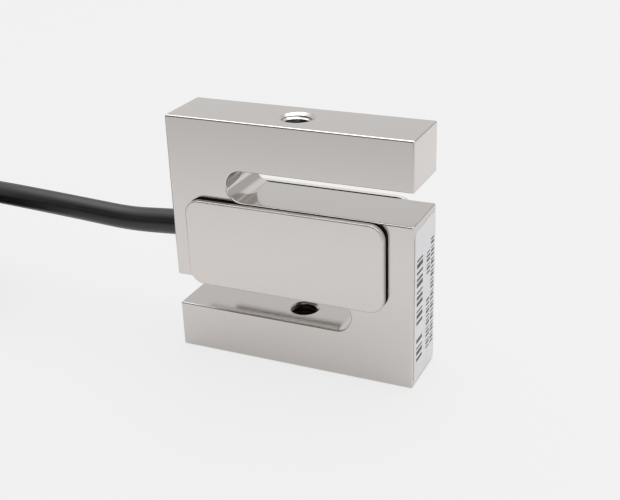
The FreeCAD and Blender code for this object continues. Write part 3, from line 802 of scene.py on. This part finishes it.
@dataclass
class LabelMarks:
    """Plain strokes in place of print on the side label, in three rows that run up it.

    Each row has its middle across Y, its height there, its runs along Z, its pitch and its stroke.
    """

    label_face: float = 25.1 * MM
    proud: float = 0.015 * MM
    rows: tuple = (
        MarkRow(-2.9 * MM, 3.3 * MM, ((4.9 * MM, 9.6 * MM), (12.7 * MM, 26.8 * MM)), 1.3 * MM, 0.62 * MM),
        MarkRow(1.95 * MM, 1.9 * MM, ((4.9 * MM, 15.2 * MM), (20.9 * MM, 25.8 * MM)), 0.85 * MM, 0.36 * MM),
        MarkRow(4.35 * MM, 1.7 * MM, ((4.9 * MM, 27.0 * MM),), 0.85 * MM, 0.36 * MM),
    )

    def build(self, ink: bpy.types.Material) -> None:
        """Make the strokes.

        Args:
            ink: the print's finish.
        """
        corners = np.concatenate([row.corners(self.label_face + self.proud) for row in self.rows])
        faces = np.arange(corners.size // 3).reshape(-1, 4)
        mesh = mesh_of("label_marks", corners, faces, smooth=False)
        add_piece("label_marks", mesh, [ink])


# --- the cable -------------------------------------------------------------------------------------


def smooth_step(value: float, start: float, end: float) -> float:
    """0 before start, 1 after end, and 3t^2 - 2t^3 between."""
    t = min(max((value - start) / (end - start), 0.0), 1.0)
    return t * t * (3 - 2 * t)


@dataclass
class Cable:
    """The free cable: its lead, the folded spare length, and the bared end.

    The lead's points and the tail's steps from the last turn are in millimetres, angles in degrees.
    A turn climbs a row, or crosses to the other column, between two angles of its right-hand end.
    """

    diameter: float = 5.0 * MM
    length: float = 1.95
    exit: tuple = (-25.8 * MM, 0.0, 24.75 * MM)
    lead: tuple = (
        (-31.5, 0.0, 24.25),
        (-39.5, 0.0, 23.65),
        (-50.0, 0.0, 24.2),
        (-61.0, 0.0, 24.7),
        (-74.0, 0.2, 25.1),
        (-84.0, 2.2, 24.2),
        (-94.0, 4.0, 22.5),
        (-104.0, 4.0, 22.5),
    )
    root_swell: tuple = (1.07, 1.06, 1.02)
    middle: float = -16.0 * MM
    right: float = -97.0 * MM
    left: float = -140.5 * MM
    inner_bend: float = 15.0 * MM
    rows: int = 5
    climb: tuple = (-80, 20)
    crossing: tuple = (-80, 25)
    band: float = 0.9 * MM
    points_per_end: int = 6
    tail: tuple = ((3.9, 0.0, 0.0), (8.4, 0.4, 0.4), (14.0, 0.4, 0.4))
    far_nodes: tuple = ("tail_sleeve", "tail_red", "tail_black", "tail_green", "tail_white", "tail_tips")
    steps_per_point: int = 6
    bevel_steps: int = 5

    def cell(self, turn: float) -> tuple:
        """Row and column of a turn: down the outer column, 0, then up the inner one, 1.

        Args:
            turn: whole turns since the lead joined.

        Returns:
            The row and the column.
        """
        if turn < self.rows:
            return self.rows - 1 - turn, 0
        return turn - self.rows, 1

    def place(self, turn: float, angle: float, is_right: bool) -> tuple:
        """A control point round one end of the hank.

        The first rows of turns go down the outer column and the next ones up the inner column.
        The radius and the height change by smooth steps round the right-hand end only.

        Args:
            turn: whole turns since the lead joined.
            angle: the point's angle round its end, from the end's own middle.
            is_right: whether it is the right-hand end.

        Returns:
            The point.
        """
        level, column = self.cell(turn)
        if is_right:
            next_level, next_column = self.cell(turn + 1)
            share = smooth_step(angle, *(self.climb if next_column == column else self.crossing))
            level += (next_level - level) * share
            column += (next_column - column) * share
        radius = self.inner_bend + (1 - column) * self.diameter
        reach = radius / math.cos(math.radians(90 / self.points_per_end))
        turned = math.radians(angle if is_right else angle + 180)
        centre = self.right if is_right else self.left
        height = (level + 0.5) * self.diameter
        return centre + reach * math.cos(turned), self.middle + reach * math.sin(turned), height

    def side_point(self, corner: tuple, gap: float) -> tuple:
        """A point on the straight side, a little raised where a tie lies under it.

        Args:
            corner: the end point next to it.
            gap: how far it is from that point along X.

        Returns:
            The point.
        """
        x, y, z = corner
        lift = self.band * (1 - (z / self.diameter - 0.5) / (self.rows - 1))
        return x + gap, y, z + lift

    def hank(self) -> list:
        """Control points of the folded turns.

        Each end of a turn has evenly spaced points on a circle whose tangents are the turn, and
        each straight side has a point as far from its corner as the next one is.

        Returns:
            The points, from where the lead joins to the start of the bared end.
        """
        step = 180 / self.points_per_end
        angles = [step * (k + 0.5) - 90 for k in range(self.points_per_end)]
        gap = 2 * self.inner_bend * math.sin(math.radians(step / 2))
        ends = [(turn, is_right) for turn in range(2 * self.rows) for is_right in (False, True)]
        points = []
        # The cable ends at the left of its last turn, without that turn's right-hand end.
        for turn, is_right in ends[:-1]:
            bend = [self.place(turn, angle, is_right) for angle in angles]
            reach = -gap if is_right else gap
            points += [self.side_point(bend[0], reach), *bend, self.side_point(bend[-1], reach)]
        return points[1:-1]

    def points(self) -> list:
        """Every control point of the cable's spline.

        Returns:
            The points, from the bush to the bared end.
        """
        lead = [tuple(c * MM for c in p) for p in self.lead]
        end = (self.left, self.middle - self.inner_bend, (self.rows - 0.5) * self.diameter)
        tail = [tuple(e + o * MM for e, o in zip(end, offset)) for offset in self.tail]
        return [self.exit, *lead, *self.hank(), end, *tail]

    def build(self, jacket: bpy.types.Material, on_cable: list[bpy.types.Object]) -> None:
        """Args:
            jacket: the jacket's finish.
            on_cable: pieces that lie on it, besides its far end's own nodes; not used.
        """
        curve = bpy.data.curves.new("cable", "CURVE")
        curve.dimensions = "3D"
        spline = curve.splines.new("NURBS")
        points = np.array(self.points())
        spline.points.add(len(points) - 1)
        spline.points.foreach_set("co", np.column_stack([points, np.ones(len(points))]).ravel())
        for point, swell in zip(spline.points, self.root_swell):
            point.radius = swell
        spline.order_u = 3
        spline.use_endpoint_u = True
        spline.resolution_u = self.steps_per_point
        spline.use_smooth = True
        curve.bevel_depth = self.diameter / 2
        curve.bevel_resolution = self.bevel_steps
        curve.use_fill_caps = True
        curve.materials.append(jacket)
        cable = put_in_scene("cable", curve)
        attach(cable, "root")
        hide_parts("cable_lead", "cable_hank", "cable_tail")
        log.info("cable: %d control points", len(points))


@dataclass
class HankTies:
    """The two nylon ties round the hank, with their moulded edges rounded.

    Faces within flat degrees of each other are one face, and edges over sharp degrees are rounded.
    """

    rounding: float = 0.3 * MM
    segments: int = 3
    flat: float = 2.0
    sharp: float = 40.0

    def build(self, nylon: bpy.types.Material) -> bpy.types.Object:
        """Make the ties.

        Args:
            nylon: their finish.

        Returns:
            The piece.
        """
        mesh = merged_mesh("hank_ties", "cable_ties")
        limit = math.radians(self.flat)
        with opened(mesh) as work:
            bmesh.ops.dissolve_limit(work, angle_limit=limit, verts=work.verts, edges=work.edges)
        ties = add_piece("cable_ties", mesh, [nylon])
        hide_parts("hank_ties")
        mesh.polygons.foreach_set("use_smooth", [True] * len(mesh.polygons))
        rounded = ties.modifiers.new("rounded edges", "BEVEL")
        rounded.width, rounded.segments = self.rounding, self.segments
        rounded.limit_method, rounded.angle_limit = "ANGLE", math.radians(self.sharp)
        rounded.harden_normals = True
        return ties


# --- the studio --------------------------------------------------------------------------------------


@dataclass(frozen=True)
class Card:
    """An upright flat card that only gloss sees, as a painted reflection: it glows at its level but lights
    nothing and casts no shadow.

    It stands between two places on the floor plan, left and right, from one height to another.
    """

    name: str
    left: tuple
    right: tuple
    heights: tuple
    level: float

    def build(self) -> None:
        """Make the card."""
        low, high = self.heights
        corners = [(*self.left, low), (*self.right, low), (*self.right, high), (*self.left, high)]
        mesh = mesh_of(self.name, np.array(corners), [(0, 1, 2, 3)], smooth=False)
        g = Surface(self.name)
        # Painted reflection: the card glows for gloss alone.
        g.show(g.add("ShaderNodeEmission", Strength=self.level).outputs[0])
        mesh.materials.append(g.material)
        card = put_in_scene(self.name, mesh)
        card.visible_camera = card.visible_diffuse = card.visible_shadow = False


@dataclass
class Studio:
    """A pale floor and surround, soft lamps, cards, and the camera.

    Gloss sees painted light and shade on the floor: a painted patch of light in front that dims away from
    the object, a painted shadow of the object at its back, and painted shade at its right.
    """

    background: float = 0.871
    shown_share: float = 0.87
    gloss_share: float = 0.35
    painted_pool_reach: tuple = (-0.16, -0.04)
    painted_pool_levels: tuple = (0.74, 0.96)
    painted_shadow_reach: tuple = (0.0, 0.09)
    painted_shadow_levels: tuple = (1.0, 0.5)
    painted_side_reach: tuple = (0.025, 0.06)
    painted_side_level: float = 0.94
    floor_half: float = 3.0
    floor_rough: float = 0.9
    floor_gloss: float = 0.1
    lens: float = 61.276
    sensor: float = 36.0
    clip: tuple = (0.01, 50.0)
    azimuth: float = 24.88869
    elevation: float = 24.28063
    roll: float = -1.96536
    distance: float = 198.40375 * MM
    target: tuple = (4.52478 * MM, -6.35 * MM, 25.91725 * MM)
    lamps: tuple = (
        ("overhead", (0.0, 0.2, 1.0), 1.5, 10.0),
        ("side", (1.0, 0.1, 0.4), 0.8, 0.8),
    )
    sky_levels: tuple = (0.75, 1.35)
    sky_step: tuple = (0.48, 0.9)
    skyline_levels: tuple = (0.06, 0.0)
    skyline_step: tuple = (0.26, 0.46)
    light_share: float = 0.42
    cards: tuple = (
        # Painted reflections: dark cards in front, and a glowing card and a grey card at the back.
        Card("low_card", (-0.26, -0.2), (0.06, -0.2), (0.0, 0.085), 0.01),
        Card("high_card", (-0.26, -0.2), (0.06, -0.2), (0.125, 0.46), 0.01),
        Card("back_softbox_reflection", (-0.22, 1.0), (0.27, 1.0), (0.6, 0.85), 0.92),
        Card("back_card", (0.24, 0.97), (0.87, 0.5), (0.03, 0.55), 0.58),
    )

    def camera(self) -> None:
        """Place the camera on its sight line, turned by its roll."""
        a, e, roll = (math.radians(v) for v in (self.azimuth, self.elevation, self.roll))
        back = Vector((math.sin(a) * math.cos(e), -math.cos(a) * math.cos(e), math.sin(e)))
        right = (-back).cross(Vector((0, 0, 1))).normalized()
        up = right.cross(-back)
        turned_right = math.cos(roll) * right + math.sin(roll) * up
        turned_up = math.cos(roll) * up - math.sin(roll) * right
        data = bpy.data.cameras.new("camera")
        data.lens, data.sensor_width = self.lens, self.sensor
        data.clip_start, data.clip_end = self.clip
        camera = put_in_scene("camera", data)
        spot = Vector(self.target) + back * self.distance
        axes = Matrix((turned_right, turned_up, back)).transposed().to_4x4()
        camera.matrix_world = Matrix.Translation(spot) @ axes
        bpy.context.scene.camera = camera

    def floor(self) -> None:
        """A pale floor that keeps a light shadow; gloss sees painted light and shade on it."""
        r = self.floor_half
        corners = np.array([(-r, -r, 0), (r, -r, 0), (r, r, 0), (-r, r, 0)])
        mesh = mesh_of("floor", corners, [(0, 1, 2, 3)], smooth=False)
        g = Surface("pale floor")
        rays = g.add("ShaderNodeLightPath").outputs
        place = g.add("ShaderNodeSeparateXYZ", Vector=g.place).outputs
        # Painted light and shade for gloss: a painted patch of light in front that dims away from the
        # object, a painted shadow at the object's back, and painted shade at its right.
        front = g.level(place["Y"], self.painted_pool_reach, self.painted_pool_levels, smooth=True)
        painted_shadow = g.level(place["Y"], self.painted_shadow_reach, self.painted_shadow_levels, smooth=True)
        right = g.level(place["X"], self.painted_side_reach, (0, 1), smooth=True)
        painted_shadow_and_side_shade = g.level(right, (0, 1), (painted_shadow, self.painted_side_level))
        painted_floor_light = g.maths("MULTIPLY", front, painted_shadow_and_side_shade)
        level = g.level(rays["Is Glossy Ray"], (0, 1), (self.background, painted_floor_light))
        g.shade(Base_Color=level, Roughness=self.floor_rough, Specular_IOR_Level=self.floor_gloss)
        glow = g.add("ShaderNodeEmission", Strength=level)
        seen_by_gloss = g.maths("MULTIPLY", rays["Is Glossy Ray"], self.gloss_share)
        share = g.maths("MULTIPLY_ADD", rays["Is Camera Ray"], self.shown_share, seen_by_gloss)
        mix = g.add("ShaderNodeMixShader", Fac=share)
        g.put(mix, 1, g.shader.outputs[0])
        g.put(mix, 2, glow.outputs[0])
        g.show(mix.outputs[0])
        mesh.materials.append(g.material)
        put_in_scene("floor", mesh)

    def surround(self) -> None:
        """The world: a pale dome that is brighter overhead and dimmer as a light than in gloss."""
        world = bpy.data.worlds.new("surround")
        bpy.context.scene.world = world
        world.use_nodes = True
        g = Graph(world.node_tree)
        way = g.add("ShaderNodeTexCoord").outputs["Generated"]
        height = g.add("ShaderNodeSeparateXYZ", Vector=way).outputs["Z"]
        rays = g.add("ShaderNodeLightPath").outputs
        dome = g.level(height, self.sky_step, self.sky_levels, smooth=True)
        total = g.maths("ADD", dome, g.level(height, self.skyline_step, self.skyline_levels))
        kind = g.level(rays["Is Glossy Ray"], (0, 1), (self.light_share, 1.0))
        lit = g.maths("MULTIPLY", total, kind)
        shown = g.level(rays["Is Camera Ray"], (0, 1), (lit, self.background))
        back = g.tree.nodes["Background"]
        g.put(back, "Color", (1, 1, 1, 1))
        g.put(back, "Strength", shown)

    def build(self) -> None:
        """Make the floor, the surround, the cards, the lamps and the camera."""
        bpy.context.scene.view_settings.view_transform = "Standard"
        self.floor()
        self.surround()
        for card in self.cards:
            card.build()
        for name, spot, wide, power in self.lamps:
            data = bpy.data.lights.new(name, "AREA")
            data.shape, data.size, data.energy = "DISK", wide, power
            lamp = put_in_scene(name, data)
            lamp.location = spot
            lamp.rotation_euler = (-Vector(spot)).to_track_quat("-Z", "Y").to_euler()
        self.camera()
        log.info("studio: %d cards, %d lamps", len(self.cards), len(self.lamps))


# --- the whole -----------------------------------------------------------------------------------------


def dress_nodes() -> dict[str, bpy.types.Material]:
    """Give each CAD node that stays the finish that its own material is named for.

    Returns:
        The materials by slot.
    """
    made = {name: finish.material() for name, finish in NODE_FINISHES.items()}
    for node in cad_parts.values():
        for slot in node.material_slots:
            name = slot.material.name.split(".")[0]
            if name in made:
                slot.material = made[name]
    return made


def main() -> None:
    """Build the load cell piece by piece, then its studio."""
    logging.basicConfig(level=logging.INFO, format="%(message)s")
    finishes = dress_nodes()
    ties = HankTies().build(finishes["tie_nylon"])
    Cable().build(finishes["cable_jacket"], [ties])
    SpringBody().build(PLATE.material(), {arm: thread.material() for arm, thread in THREADS.items()})
    Covers().build({side: cover.material() for side, cover in COVER_PLATES.items()}, finishes["sealant"])
    LabelMarks().build(INK.material())
    Studio().build()


if __name__ == "__main__":
    main()
